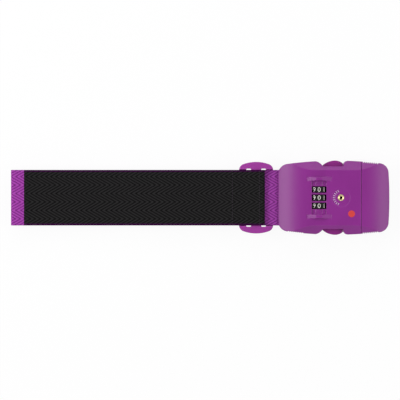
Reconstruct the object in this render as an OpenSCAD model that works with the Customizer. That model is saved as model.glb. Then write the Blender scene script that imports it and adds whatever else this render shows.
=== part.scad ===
// Luggage strap: 50 mm woven webbing stored as a flat folded hank, a tri-glide slider, and a
// three-dial combination lock buckle with a side-squeeze tongue.
// Millimetres. The strap lies flat on z = 0, +X runs from the fold to the buckle, +Z is up.

/* [Overall] */
// length of the folded strap, from its left fold to the mouth of the lock
strap_len = 240.6; // [200:1:300]
// length of the lock half of the buckle
lock_len = 74.4; // [73:0.1:78]
// length of the tongue half of the buckle
tongue_len = 25.4; // [25:0.1:30]
// greatest width of the buckle
buckle_w = 66.6; // [66:0.1:72]
// height of the buckle's top above the table
buckle_top = 24; // [23.6:0.1:27]

/* [Webbing] */
// width of the webbing
web_w = 50; // [46:0.1:50.6]
// thickness of the webbing
web_t = 1.2; // [1:0.05:1.25]
// air between two layers of the folded strap
web_gap = 0.15; // [0.1:0.01:0.2]
// how far the hidden folds end before the mouth of the lock
fold_short = 7; // [4:0.5:40]
// length of the sewn lap beside the lock
lap_len = 4; // [3:0.5:8]
// length of the sewn tail under the slider
tail_len = 34; // [28:1:45]
// thickness of the printed layer
print_t = 0.12; // [0.08:0.01:0.2]
// webbing left bare at the ends of the print
print_end = 11.8; // [6:0.1:20]
// webbing left bare along the edges of the print
print_edge = 1.4; // [0.8:0.1:4]

/* [Slider] */
// length of the slider along the strap
slider_len = 30.8; // [30:0.1:34]
// length of the slider across the strap
slider_w = 64.4; // [62:0.1:72]
// gap between the slider and the sewn lap
slider_gap = 0.6; // [0.4:0.1:40]
// width of the outer bars
slider_bar = 6.6; // [6:0.1:7]
// width of the middle bar
slider_mid_bar = 9.3; // [8:0.1:9.5]
// thickness of the outer bars
slider_bar_t = 1.8; // [1.4:0.1:1.9]
// thickness of the middle bar
slider_mid_t = 2; // [1.6:0.1:2]
// how far the slider runs along the strap
slider_travel = 60; // [20:1:80]

/* [Buckle shell] */
// radius of the plan corners
shell_corner = 9; // [7:0.5:10]
// radius of the bowed long sides
shell_bow = 330; // [250:10:500]
// radius of the bowed end of the tongue
end_bow = 340; // [250:10:500]
// radius of the top where it falls to both ends
shell_fall = 63; // [58:1:75]
// where the flat top starts, from the mouth of the lock
flat_start = 34; // [30:0.5:36]
// where the flat top ends, from the mouth of the lock
flat_end = 68; // [64:0.5:72]
// half width of the flat top
crease_half = 24.8; // [24:0.1:27]
// drop of the slanted sides from the flat top to the edge
side_drop = 5.5; // [4:0.1:6]
// thickness of the floor
floor_t = 2; // [1.6:0.1:2.2]
// height of the parting plane of the covers
parting = 12; // [11.9:0.05:12.4]
// gap at the seam between lock and tongue
seam = 0.3; // [0.2:0.05:0.4]
// depth of the grip grooves in the sides of the tongue
tongue_grip = 1.8; // [0.8:0.1:2]
// depth of the grip grooves in the sides of the lock
lock_grip = 0.9; // [0.4:0.1:1]
// spacing of the grip grooves
grip_pitch = 1.8; // [1.6:0.05:1.9]
// radius of the steel pins that hold the webbing
pin_r = 1.5; // [1.2:0.05:1.6]
// setback of the pin from the mouth of the lock
lock_pin_in = 9.5; // [9:0.1:11]
// setback of the pin from the seam in the tongue
tongue_pin_in = 9.3; // [9:0.1:10]

/* [Dials] */
// radius of a dial
dial_r = 7.5; // [7:0.05:7.6]
// width of a dial
dial_w = 5; // [4.4:0.1:5.2]
// spacing of the dials
dial_pitch = 7.3; // [7:0.1:7.6]
// setback of the dial axis from the mouth of the lock
dial_in = 36.4; // [36:0.1:37]
// depth of the dial axis below the top
dial_sink = 7.2; // [6.8:0.1:7.5]
// radius of the dial axle
axle_r = 2; // [1.6:0.05:2.2]
// outer radius of a code sleeve
sleeve_r = 4; // [3.6:0.05:4.2]
// radius of the rim of a code sleeve
rim_r = 5; // [4.8:0.05:5.2]
// width of a dial window along the strap
window_len = 13; // [12:0.1:13.6]
// depth of the trench around the dials
pocket_depth = 1.3; // [1:0.1:1.5]
// length along the strap of the raised bow-ties at both ends of the dials
saddle_len = 22.6; // [20:0.1:23]
// height of the bow-ties above the top of the lock
saddle_rise = 2.2; // [1.2:0.1:2.6]
// depth at which the wings of the bow-ties end below the top
saddle_sink = 1; // [0.4:0.1:1.2]

/* [Key lock] */
// setback of the key from the mouth of the lock
key_in = 56; // [55.6:0.1:56.4]
// radius of the key plug
plug_r = 2.9; // [2.6:0.05:3]
// radius of the round boss mark around the key
boss_r = 8.4; // [6:0.1:9]

/* [Prongs] */
// thickness of a prong arm
arm_t = 3.2; // [2.8:0.1:3.4]
// height of the prongs
prong_h = 10; // [8:0.1:10.5]
// distance of a prong's pivot from the middle
prong_y = 26; // [25.8:0.1:26.2]
// radius of the prong's round root
root_r = 2.2; // [2.1:0.05:2.3]
// how far a prong turns when it is squeezed
squeeze = 10; // [8:0.5:10]
// travel of the lock plate when the prongs are squeezed
plate_travel = 1.8; // [1.4:0.1:1.8]

/* [Fits] */
// running clearance of turning parts
run_fit = 0.05; // [0.03:0.01:0.1]
// clearance of sliding parts
slide_fit = 0.3; // [0.2:0.05:0.35]
// clearance between a dial and its window
window_fit = 0.3; // [0.2:0.05:0.35]
// clearance of the webbing in the mouths and slots
web_fit = 0.6; // [0.4:0.05:0.8]

/* [Hidden] */
$fn = 96;

purple = [0.55, 0.2, 0.56];
strap_purple = [0.58, 0.24, 0.6];
print_black = [0.08, 0.08, 0.085];
dial_black = [0.1, 0.1, 0.1];
steel = [0.72, 0.73, 0.74];
brass = [0.85, 0.75, 0.52];
acetal = [0.85, 0.84, 0.8];
eps = 0.01;

// stations along the strap
total = strap_len + lock_len + tongue_len;
x_fold = -total / 2;
x_lock = x_fold + strap_len;
x_seam = x_lock + lock_len;
x_end = x_seam + tongue_len;
x_slider = x_lock - lap_len - slider_gap - slider_len / 2;
x_dial = x_lock + dial_in;
x_key = x_lock + key_in;

// levels: layer k of the stack counts up from the table
pitch = web_t + web_gap;
function level(k) = web_t / 2 + pitch * k;
stack_top = level(5) + web_t / 2;
shell_z = level(1) + web_t / 2 + 0.25;
slider_z = stack_top + 0.25;
main_z = slider_z + slider_bar_t + 0.2 + web_t / 2;
front_z = main_z + pitch;
mid_bar_z = front_z + web_t / 2 + 0.2;
over_z = mid_bar_z + slider_mid_t + 0.15 + web_t / 2;

// one strip of webbing: a centre line of [x, z, corner radius], given thickness
arc_step = 15;
function unit(v) = v / norm(v);
function flat(p) = [p[0], p[1]];
function apart(p) = [for (i = [0:len(p) - 1]) if (i == 0 || norm(p[i] - p[i - 1]) > 0.001) p[i]];
function bend(a, b, c, r) =
    let (u = unit(a - b), v = unit(c - b), half = acos(u * v) / 2,
         mid = b + unit(u + v) * r / sin(half), s = b + u * r / tan(half) - mid,
         sweep = 180 - 2 * half, way = u[0] * v[1] - u[1] * v[0] > 0 ? -1 : 1,
         n = ceil(sweep / arc_step))
    [for (k = [0:n]) let (a = atan2(s[1], s[0]) + way * sweep * k / n) mid + r * [cos(a), sin(a)]];
function line(path) = apart([for (i = [0:len(path) - 1]) each
    (i == 0 || i == len(path) - 1 || path[i][2] == 0) ? [flat(path[i])]
    : bend(flat(path[i - 1]), flat(path[i]), flat(path[i + 1]), path[i][2])]);
function left(v) = [-v[1], v[0]];
function rail(c, d) = [for (i = [0:len(c) - 1])
    let (a = left(unit(i == 0 ? c[1] - c[0] : c[i] - c[i - 1])),
         b = left(unit(i == len(c) - 1 ? c[i] - c[i - 1] : c[i + 1] - c[i])), n = unit(a + b))
    c[i] + n * d / (n * a)];
function back(p) = [for (i = [len(p) - 1:-1:0]) p[i]];
function run_len(c, i = 1) = i == len(c) ? 0 : norm(c[i] - c[i - 1]) + run_len(c, i + 1);
module strip(path, low = -web_t / 2, high = web_t / 2, w = web_w) {
    c = line(path);
    along_y(w) polygon(concat(rail(c, high), back(rail(c, low))));
}

// drawing planes: a side view swept along Y, an end view swept along X, a plan swept along Z
module along_y(w) rotate([90, 0, 0]) linear_extrude(w, center = true) children();
module along_x(x0, x1) translate([x0, 0, 0]) rotate([90, 0, 90]) linear_extrude(x1 - x0) children();
module along_z(z0, z1) translate([0, 0, z0]) linear_extrude(z1 - z0) children();
module block(x, y, z) translate([x[0], y[0], z[0]]) cube([x[1] - x[0], y[1] - y[0], z[1] - z[0]]);
module both_sides() {
    children();
    mirror([0, 1, 0]) children();
}
module post(x, y, z, r) translate([x, y, z[0]]) cylinder(h = z[1] - z[0], r = r);
module shaft(x, z, y, r) translate([x, y[1], z]) rotate([90, 0, 0]) cylinder(h = y[1] - y[0], r = r);

// the paths of the webbing
fold_r = (front_z - level(4)) / 2;
x_left = x_fold + web_t / 2;
x_left_low = x_left + fold_r - (level(3) - level(0)) / 2;
x_right = x_lock - fold_short - web_t / 2;
x_cut = x_seam + 2;
main_r = (main_z - level(5)) / 2;
sag_l = x_left + 14;
sag_r = x_slider - slider_len / 2 - slider_travel - 8;
wrap_r = pin_r + 0.15 + web_t / 2;
x_pin = x_lock + lock_pin_in;
z_pin = main_z - wrap_r;
lap_z = main_z - pitch;
lap_fall = 24;
lap_x = x_pin + wrap_r - (lap_z - z_pin + wrap_r * tan(45 + lap_fall / 2)) / tan(lap_fall);
low_r = (level(2) - level(1)) / 2;
main_path = [
    [x_lock - lap_len, lap_z, 0],
    [lap_x, lap_z, 4],
    [x_pin + wrap_r, z_pin - wrap_r * tan(45 + lap_fall / 2), wrap_r],
    [x_pin + wrap_r, main_z, wrap_r],
    [sag_r, main_z, 60],
    [sag_r - 40, level(6), 60],
    [sag_l + 30, level(6), 60],
    [sag_l, main_z, 60],
    [x_left + fold_r - main_r, main_z, main_r],
    [x_left + fold_r - main_r, level(5), main_r],
    [x_right, level(5), (level(5) - level(2)) / 2],
    [x_right, level(2), (level(5) - level(2)) / 2],
    [x_left + fold_r - low_r, level(2), low_r],
    [x_left + fold_r - low_r, level(1), low_r],
    [x_cut, level(1), 0]];
in_r = (level(4) - level(3)) / 2;
x_right_in = x_right - (level(5) - level(2)) / 2 + in_r;
return_path = [
    [x_cut, level(0), 0],
    [x_left_low, level(0), (level(3) - level(0)) / 2],
    [x_left_low, level(3), (level(3) - level(0)) / 2],
    [x_right_in, level(3), in_r],
    [x_right_in, level(4), in_r],
    [x_left, level(4), fold_r],
    [x_left, front_z, fold_r],
    [x_left + fold_r + 0.5, front_z, 0]];
x_bend = x_slider + slider_mid_bar / 2 + 3.15;
bend_r = (over_z - front_z) / 2;
x_tail = x_bend - tail_len;
function front_path(x) = [
    [x, front_z, 0],
    [sag_l, front_z, 60],
    [sag_l + 30, level(7), 60],
    [sag_r - 40, level(7), 60],
    [sag_r, front_z, 60],
    [x_tail - 9, front_z, 20],
    [x_tail - 1, front_z + pitch, 20],
    [x_tail + 2, front_z + pitch, 0]];
slider_path = [
    [x_tail + 2, front_z + pitch, 0],
    [x_slider - 12, front_z + pitch, 6],
    [x_slider - 4.5, over_z, 4],
    [x_bend - web_t / 2, over_z, bend_r],
    [x_bend - web_t / 2, front_z, bend_r],
    [x_tail + 0.5, front_z, 0]];
turn_z = 5;
x_turn = x_seam + 22.6 - web_t / 2;
top_z = 2 * turn_z - level(0);
under_z = 2 * turn_z - level(1);
x_tpin = x_seam + tongue_pin_in;
z_tpin = (top_z + under_z) / 2;
loop_open = 20;
loop_drop = wrap_r * tan(45 + loop_open / 2);
loop_x = x_tpin - wrap_r + (loop_drop - (top_z - under_z) / 2) / tan(loop_open);
tongue_path = [
    [x_cut, level(1), 0],
    [x_turn - pitch, level(1), turn_z - level(1)],
    [x_turn - pitch, under_z, turn_z - level(1)],
    [loop_x, under_z, 4],
    [x_tpin - wrap_r, z_tpin - loop_drop, wrap_r],
    [x_tpin - wrap_r, z_tpin + loop_drop, wrap_r],
    [loop_x, top_z, 4],
    [x_turn, top_z, turn_z - level(0)],
    [x_turn, level(0), turn_z - level(0)],
    [x_cut, level(0), 0]];
echo(str("webbing length ", run_len(line(main_path)) + run_len(line(return_path))
    + run_len(line(front_path(x_left))) + run_len(line(slider_path)) + run_len(line(tongue_path))));

// the outer form of both buckle halves
half_w = buckle_w / 2;
x_bow = x_lock + 52;
function edge_y(x) = half_w - shell_bow + sqrt(pow(shell_bow, 2) - pow(x - x_bow, 2));
// corner circles that meet the bowed sides and the bowed end smoothly
function corner_y(x) = half_w - shell_bow + sqrt(pow(shell_bow - shell_corner, 2) - pow(x - x_bow, 2));
function along_bow(x) = x_bow + (x - x_bow) * shell_bow / (shell_bow - shell_corner);
corner_l = x_lock + shell_corner;
corner_r = x_end - end_bow + sqrt(pow(end_bow - shell_corner, 2) - pow(corner_y(x_end - shell_corner), 2));
module shell_plan() {
    intersection() {
        translate([x_bow, half_w - shell_bow]) circle(shell_bow, $fn = 360);
        translate([x_bow, shell_bow - half_w]) circle(shell_bow, $fn = 360);
        translate([x_end - end_bow, 0]) circle(end_bow, $fn = 360);
        union() {
            translate([x_lock, -corner_y(corner_l)]) square([corner_r - x_lock, 2 * corner_y(corner_l)]);
            translate([corner_l, -corner_y(corner_r)]) square([x_end - corner_l, 2 * corner_y(corner_r)]);
            translate([along_bow(corner_l), -half_w])
                square([along_bow(corner_r) - along_bow(corner_l), buckle_w]);
            for (x = [corner_l, corner_r], s = [-1, 1])
                translate([x, s * corner_y(x)]) circle(shell_corner);
        }
    }
}
module shell_side() {
    intersection() {
        translate([x_lock, shell_z]) square([x_end - x_lock, buckle_top - shell_z]);
        union() {
            translate([x_lock + flat_start, 0]) square([flat_end - flat_start, buckle_top]);
            for (x = [flat_start, flat_end])
                translate([x_lock + x, buckle_top - shell_fall]) circle(shell_fall, $fn = 180);
        }
    }
}
module shell_end() {
    chamfer = 2;
    low = buckle_top - side_drop;
    polygon([[-half_w, shell_z + chamfer], [chamfer - half_w, shell_z], [half_w - chamfer, shell_z],
        [half_w, shell_z + chamfer], [half_w, low], [crease_half, buckle_top],
        [-crease_half, buckle_top], [-half_w, low]]);
}
module shell(x, z) {
    intersection() {
        along_z(z[0], z[1]) shell_plan();
        along_y(2 * buckle_w) shell_side();
        along_x(x[0], x[1]) shell_end();
    }
}

// the notches that bare the prong pads, with rounded lips
notch_y = half_w - 5.2;
x_pad = x_lock + 51;
x_catch = x_pad + 7.3;
module notch_plan() {
    lip_l = 9.5;
    lip_r = 3.8;
    translate([x_pad - 10.8, notch_y]) square([x_catch - x_pad + 10.8, half_w]);
    difference() {
        translate([x_pad - 19.4, notch_y]) square([10, half_w]);
        translate([x_pad - 19.4, half_w - 0.35 - lip_l]) circle(lip_l);
    }
    difference() {
        translate([x_catch - eps, notch_y]) square([lip_r, half_w]);
        translate([x_catch + lip_r, half_w - lip_r - 0.2]) circle(lip_r);
        translate([x_catch, 0]) square([lip_r, half_w - lip_r - 0.2]);
    }
}
module notches() both_sides() along_z(shell_z - 1, buckle_top + 1) notch_plan();

// the hollows inside the lock half
ceiling = buckle_top - 4.5;
floor_z = shell_z + floor_t;
prong_z = (shell_z + buckle_top - side_drop) / 2 + 1 - prong_h / 2;
chamber_l = x_dial - 11.3;
chamber_r = x_seam - 6.8;
chamber_y = 18;
channel_y = 19.6;
wall_in = half_w - 2.2;
catch_y = half_w - 4.4;
module hollows() {
    block([chamber_l, chamber_r], [-chamber_y, chamber_y], [floor_z, ceiling]);
    block([x_lock + 2.4, x_pin + wrap_r + web_t / 2 + 1.2], [-web_w / 2 - web_fit, web_w / 2 + web_fit],
        [floor_z, main_z + web_t / 2 + web_fit]);
    block([x_lock - 1, x_lock + 3], [-web_w / 2 - web_fit, web_w / 2 + web_fit],
        [lap_z - web_t / 2 - web_fit, main_z + web_t / 2 + web_fit]);
    both_sides() {
        block([x_pad - 14, x_catch], [channel_y, wall_in], channel_z);
        block([x_catch - 1, x_seam + 1], [channel_y, catch_y], channel_z);
        block([x_key + 2, chamber_r], [chamber_y - 1, channel_y + 1],
            [plate_z - slide_fit, plate_z + plate_t + 1]);
    }
    block([x_seam - guide_len - slide_fit, x_seam + 1], [-guide_y - slide_fit, guide_y + slide_fit],
        [guide_z[0] - slide_fit, guide_z[1] + slide_fit]);
    both_sides() shaft(x_pin, z_pin, [0, web_w / 2 + 2.6], pin_r + run_fit);
    both_sides() block([x_pin - pin_r - run_fit, x_pin + pin_r + run_fit], [web_w / 2, web_w / 2 + 2.6],
        [z_pin, parting]);
}
channel_z = [prong_z - slide_fit, prong_z + prong_h + slide_fit];
guide_len = 5;
guide_y = 11;
guide_z = [8, 16];

// screws: [setback from the mouth, distance from the middle]
screw_at = [[17.5, 27.3], [lock_len - 3.2, 15.6]];
screw_r = 1.1;
module screw(x, y, top) {
    post(x, y, [shell_z + 0.2, shell_z + 1.6], 2.1);
    post(x, y, [shell_z + 1.5, top], screw_r);
}
module screw_hole(x, y, top) {
    post(x, y, [shell_z - 1, shell_z + 1.6], 2.1 + run_fit);
    post(x, y, [shell_z, top + 0.3], screw_r + run_fit);
}

// V-shaped grooves for the grip along an edge
grip_count = 8;
x_lock_grip = x_lock + 9.1;
x_tongue_grip = x_seam + 2.1;
module grip(x0, depth, z, sides = [-1, 1]) {
    open = 0.46 * grip_pitch * (depth + 1) / depth;
    for (i = [0:grip_count - 1], s = sides) {
        x = x0 + grip_pitch * i;
        y = edge_y(x);
        along_z(z[0], z[1])
            polygon([[x, s * (y - depth)], [x + open, s * (y + 1)], [x - open, s * (y + 1)]]);
    }
}

z_dial = buckle_top - dial_sink;
pocket_z = buckle_top - pocket_depth;
window_r = dial_r + window_fit;
function dial_y(i) = (i - 2) * dial_pitch;
spine_r = dial_r - 1;
spine_y = 15;

// the trench of the dials
module trench() {
    half = window_len / 2 + 0.1;
    block([x_dial - half, x_dial + half], [-spine_y, spine_y], [pocket_z, buckle_top + 1]);
}

// a raised bow-tie at each end of the trench: drawn in at its waist, with wings that slope into pits
saddle_y = [spine_y - 0.3, spine_y + 4.1];
saddle_waist = 0.9;
saddle_flat = 2.5;
pit_depth = 2;
function top_at(x) = buckle_top - shell_fall
    + sqrt(pow(shell_fall, 2) - pow(max(0, x_lock + flat_start - x), 2));
module saddle_plan(inset) {
    half = saddle_len / 2 - inset;
    y = saddle_y + [inset, -inset];
    polygon([[-half, y[1]], [0, y[1] - saddle_waist], [half, y[1]],
        [half, y[0]], [0, y[0] + saddle_waist], [-half, y[0]]]);
}
module pits() translate([x_dial, 0, buckle_top]) both_sides() along_z(-pit_depth, 1) saddle_plan(0.05);
module saddles() {
    tip = saddle_len / 2 + 1;
    low = top_at(x_dial - tip) - buckle_top - saddle_sink;
    base = -pit_depth - 0.5;
    translate([x_dial, 0, buckle_top]) both_sides() intersection() {
        along_z(base, saddle_rise + 1) saddle_plan(0);
        along_y(2 * buckle_w) polygon([[-tip, base - 1], [tip, base - 1], [tip, -saddle_sink],
            [saddle_flat, saddle_rise], [-saddle_flat, saddle_rise], [-tip, low]]);
    }
}

module top_cover() {
    color(purple) difference() {
        union() {
            difference() {
                union() {
                    difference() {
                        shell([x_lock, x_seam - seam / 2], [parting, buckle_top + 1]);
                        pits();
                    }
                    saddles();
                }
                trench();
            }
            difference() {
                union() {
                    shaft(x_dial, z_dial, [-spine_y, spine_y], spine_r);
                    for (s = [-1, 1])
                        shaft(x_dial + s * 2.6, z_dial + spine_r - 0.75, [-spine_y, spine_y], 0.5);
                }
                block([x_dial - 9, x_dial + 9], [-30, 30], [0, ceiling]);
            }
        }
        hollows();
        notches();
        for (i = [1:3]) {
            opening = [dial_y(i) - dial_w / 2 - window_fit, dial_y(i) + dial_w / 2 + window_fit];
            shaft(x_dial, z_dial, opening, window_r);
            block([x_dial - window_len / 2, x_dial + window_len / 2], opening, [z_dial, buckle_top + 1]);
        }
        shaft(x_dial, z_dial, [-spine_y + 0.8, spine_y - 0.8], rim_r + window_fit);
        grip(x_lock_grip, lock_grip, [parting - 1, buckle_top + 1], [-1]);
        post(x_key, 0, [buckle_top - 0.25, buckle_top + 1], boss_r);
        post(x_key, 0, [ceiling - 1, buckle_top + 1], plug_r + run_fit);
        post(x_key, 0, [ceiling - 1, buckle_top - 1.6], plug_r + 1.3 + run_fit);
        both_sides() for (p = screw_at) screw_hole(x_lock + p[0], p[1], parting + 4);
    }
}

module bottom_cover() {
    color(purple) {
        difference() {
            shell([x_lock, x_seam - seam / 2], [shell_z, parting]);
            hollows();
            notches();
            both_sides() for (p = screw_at) screw_hole(x_lock + p[0], p[1], parting + 4);
            post(x_reset, y_reset, [shell_z - 1, floor_z + 1], 1.5 + run_fit);
            post(x_reset, y_reset, [shell_z - 1, shell_z + 0.6], 2.6);
            grip(x_lock_grip, lock_grip, [shell_z - 1, parting + 1]);
        }
        // cradles of the dial axle
        both_sides() difference() {
            block([x_dial - 3.5, x_dial + 3.5], [spine_y - 0.4, spine_y + 2.6],
                [floor_z - eps, z_dial + 1.8]);
            shaft(x_dial, z_dial, [0, 40], axle_r + run_fit);
            block([x_dial - axle_r - run_fit, x_dial + axle_r + run_fit], [0, 40], [z_dial, z_dial + 9]);
        }
        // guides of the lock plate and the seat of its spring
        both_sides() {
            post(x_guide, y_guide, [floor_z - eps, plate_z - 0.1], 2.2);
            post(x_guide, y_guide, [floor_z - eps, plate_z + plate_t + 0.5], 1.2);
        }
        block([x_spring - 1.5, x_spring], [-1.5, 1.5], [floor_z - eps, plate_z + plate_t / 2 + 1.2]);
    }
}

module lock_pin() color(steel) shaft(x_pin, z_pin, [-web_w / 2 - 2.4, web_w / 2 + 2.4], pin_r);

module cover_screws() color(steel) both_sides()
    for (p = screw_at) screw(x_lock + p[0], p[1], parting + 4);

module dial_axle() color(steel) shaft(x_dial, z_dial, [-spine_y - 2.6, spine_y + 2.6], axle_r);

module detent_leaf() {
    // a flat spring frame whose three bowed fingers press on the dials from below
    top = z_dial - dial_r - window_fit - 0.1;
    foot = floor_z + 0.8;
    span = 8;
    bow = (pow(span, 2) + pow(top - foot, 2)) / (2 * (top - foot));
    color(steel) {
        for (i = [1:3]) translate([0, dial_y(i), 0]) along_y(dial_w - 1.4) translate([x_dial, top - bow])
            intersection() {
                difference() {
                    circle(bow);
                    circle(bow - 0.35);
                }
                translate([-span, 0]) square([2 * span, bow + 1]);
            }
        for (s = [-1, 1])
            block([x_dial + s * (span - 0.8) - 0.9, x_dial + s * (span - 0.8) + 0.9], [-11, 11],
                [floor_z, foot]);
    }
}

module dial(i) color(dial_black) difference() {
    shaft(x_dial, z_dial, [dial_y(i) - dial_w / 2, dial_y(i) + dial_w / 2], dial_r);
    shaft(x_dial, z_dial, [dial_y(i) - dial_w, dial_y(i) + dial_w], sleeve_r + run_fit);
    for (k = [0:9]) translate([x_dial, 0, z_dial]) rotate([0, 36 * k + 18, 0]) {
        shaft(0, dial_r + 0.55, [dial_y(i) - dial_w, dial_y(i) + dial_w], 1.1);
        shaft(0, sleeve_r, [dial_y(i) - dial_w, dial_y(i) + dial_w], 0.55);
    }
}
module dial_1() dial(1);
module dial_2() dial(2);
module dial_3() dial(3);

gate_y = dial_w / 2 + 0.2;
rim_t = 1.2;
module code_sleeve(i) color(brass) difference() {
    union() {
        shaft(x_dial, z_dial, [dial_y(i) - dial_w / 2, dial_y(i) + gate_y + rim_t / 2], sleeve_r);
        shaft(x_dial, z_dial, [dial_y(i) + gate_y, dial_y(i) + gate_y + rim_t], rim_r);
        translate([x_dial, 0, z_dial]) rotate([0, 18, 0])
            shaft(0, sleeve_r - 0.1, [dial_y(i) - dial_w / 2 + 0.4, dial_y(i) + gate_y + rim_t / 3], 0.45);
    }
    shaft(x_dial, z_dial, [dial_y(i) - dial_w, dial_y(i) + dial_w], axle_r + run_fit);
    block([x_dial + rim_r - plate_travel, x_dial + rim_r + 1],
        [dial_y(i) + gate_y, dial_y(i) + gate_y + rim_t + 1], [z_dial - 1.1, z_dial + 1.1]);
}
module code_sleeve_1() code_sleeve(1);
module code_sleeve_2() code_sleeve(2);
module code_sleeve_3() code_sleeve(3);

// the lock plate slides towards the sleeves when the prongs' cams press on its wings
plate_z = floor_z + 3.4;
plate_t = 2;
x_plate = x_dial + 10.7;
x_guide = x_key - 1.9;
y_guide = 9;
x_spring = x_key - 4;
spring_end = x_key + 3.6;
cam_x = x_seam - 12.2;
cam_y = 22.6;
cam_r = 1.2;
wing_y = 20.7;
wing_sum = cam_x + cam_y - (cam_r + 0.25) * sqrt(2);
module lock_plate() color(acetal) along_z(plate_z, plate_z + plate_t) difference() {
    half = [[x_plate, 13], [wing_sum - wing_y - 2, 13], [wing_sum - wing_y - 2, wing_y],
        [wing_sum - wing_y, wing_y], [chamber_r - 2, wing_sum - chamber_r + 2]];
    polygon(concat(half, back([for (p = half) [p[0], -p[1]]])));
    translate([x_spring - 3.6, -2]) square([spring_end - x_spring + 3.6, 4]);
    for (s = [-1, 1]) {
        translate([x_guide, s * y_guide]) circle(1.35);
        translate([x_guide + plate_travel, s * y_guide]) circle(1.35);
        translate([x_guide, s * y_guide - 1.35]) square([plate_travel, 2.7]);
    }
}

module gate_feelers() color(steel) for (i = [1:3])
    translate([0, dial_y(i) + gate_y + rim_t / 2, 0]) along_y(0.8) {
        translate([x_plate, plate_z + plate_t]) square([2.5, z_dial + 0.8 - plate_z - plate_t]);
        translate([x_dial + rim_r + 0.4, z_dial - 0.8]) square([x_plate + 1 - x_dial - rim_r - 0.4, 1.6]);
    }

// a coil along +Z from the origin, closed by flat discs of wire at both ends
module coil(h, r, wire, turns) {
    sides = 8;
    steps = turns * 12;
    function ring(k) = let (a = 360 * turns * k / steps, z = wire + (h - 2 * wire) * k / steps)
        [for (j = [0:sides - 1]) let (b = 360 * j / sides)
            [(r + wire * cos(b)) * cos(a), (r + wire * cos(b)) * sin(a), z + wire * sin(b)]];
    polyhedron(
        points = [for (k = [0:steps]) each ring(k)],
        faces = concat([[for (j = [0:sides - 1]) j]], [[for (j = [sides - 1:-1:0]) steps * sides + j]],
            [for (k = [0:steps - 1], j = [0:sides - 1])
                let (n = (j + 1) % sides, a = k * sides, b = a + sides)
                each [[a + j, b + j, b + n], [a + j, b + n, a + n]]]));
}

module plate_spring() color(steel) translate([x_spring, 0, plate_z + plate_t / 2]) rotate([0, 90, 0])
    coil(spring_end - x_spring, 1.1, 0.25, 6);

// the key lock: a fixed barrel, the plug that the key turns, and the cam under it
cam_z = plate_z + plate_t + 1.1;
module key_barrel() color(brass) difference() {
    post(x_key, 0, [cam_z + 1.8, buckle_top - 1.6], plug_r + 1.3);
    post(x_key, 0, [0, buckle_top], plug_r + run_fit);
}

module key_plug() color(brass) difference() {
    union() {
        post(x_key, 0, [cam_z + 1.6, buckle_top - 0.3], plug_r);
        post(x_key, 0, [cam_z, cam_z + 2], 1.5);
    }
    post(x_key, 0, [buckle_top - 8, buckle_top + 1], 1.3);
    block([x_key - 0.55, x_key + 0.55], [-2.1, 0], [buckle_top - 8, buckle_top + 1]);
}

module key_cam() color(steel) difference() {
    along_z(cam_z, cam_z + 1.6) union() {
        translate([x_key, 0]) circle(2.8);
        translate([x_key - 5.6, -1.4]) square([5.6, 2.8]);
        translate([x_key - 5.6, 0]) circle(1.4);
    }
    post(x_key, 0, [0, buckle_top], 1.5 + run_fit);
}

// the plunger that frees the dials to set a new code, pressed through a hole in the floor
x_reset = chamber_l + 3.4;
y_reset = 15;
module reset_plunger() color(acetal) {
    post(x_reset, y_reset, [shell_z + 0.7, floor_z + 0.2], 1.5);
    post(x_reset, y_reset, [floor_z + 0.1, floor_z + 1.1], 2.6);
    post(x_reset, y_reset, [floor_z + 1, floor_z + 9], 1.2);
}

module reset_spring() color(steel) translate([x_reset, y_reset, floor_z + 1.1])
    coil(ceiling - floor_z - 1.1, 1.9, 0.3, 8);

// the tongue half
x_prong = x_seam + 3.1;
module tongue_hollows() {
    mouth_top = z_tpin + wrap_r + web_t / 2 + web_fit;
    mouth_y = web_w / 2 + web_fit;
    block([x_tpin - wrap_r - web_t / 2 - 0.6, x_end + 1], [-mouth_y, mouth_y],
        [z_tpin - wrap_r - web_t / 2 - 0.4, mouth_top]);
    block([x_turn - turn_z + web_t / 2 - 0.8, x_end + 1], [-mouth_y, mouth_y], [shell_z - 1, mouth_top]);
    both_sides() {
        shaft(x_tpin, z_tpin, [0, web_w / 2 + 2.6], pin_r + run_fit);
        block([x_tpin - pin_r - run_fit, x_tpin + pin_r + run_fit], [web_w / 2, web_w / 2 + 2.6],
            [z_tpin, parting]);
        post(x_prong, prong_y, channel_z, root_r + run_fit);
        block([x_seam - 1, x_prong], [prong_y - 2.05, prong_y + 1.9], channel_z);
    }
}

tongue_screw_at = [2.6, 16.5];
// the short guide that enters the lock half between the prongs
module guide(z) block([x_seam - guide_len, x_seam + seam / 2 + eps], [-guide_y, guide_y], z);

module tongue_top() color(purple) {
    difference() {
        shell([x_seam + seam / 2, x_end], [parting, buckle_top + 1]);
        tongue_hollows();
        both_sides() screw_hole(x_seam + tongue_screw_at[0], tongue_screw_at[1], parting + 4);
        grip(x_tongue_grip, tongue_grip, [parting - 1, buckle_top + 1]);
    }
    guide([parting, guide_z[1]]);
}

module tongue_bottom() color(purple) {
    difference() {
        shell([x_seam + seam / 2, x_end], [shell_z, parting]);
        tongue_hollows();
        both_sides() screw_hole(x_seam + tongue_screw_at[0], tongue_screw_at[1], parting + 4);
        grip(x_tongue_grip, tongue_grip, [shell_z - 1, parting + 1]);
    }
    guide([guide_z[0], parting]);
}

module tongue_pin() color(steel) shaft(x_tpin, z_tpin, [-web_w / 2 - 2.4, web_w / 2 + 2.4], pin_r);

module tongue_screws() color(steel) both_sides()
    screw(x_seam + tongue_screw_at[0], tongue_screw_at[1], parting + 4);

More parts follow.
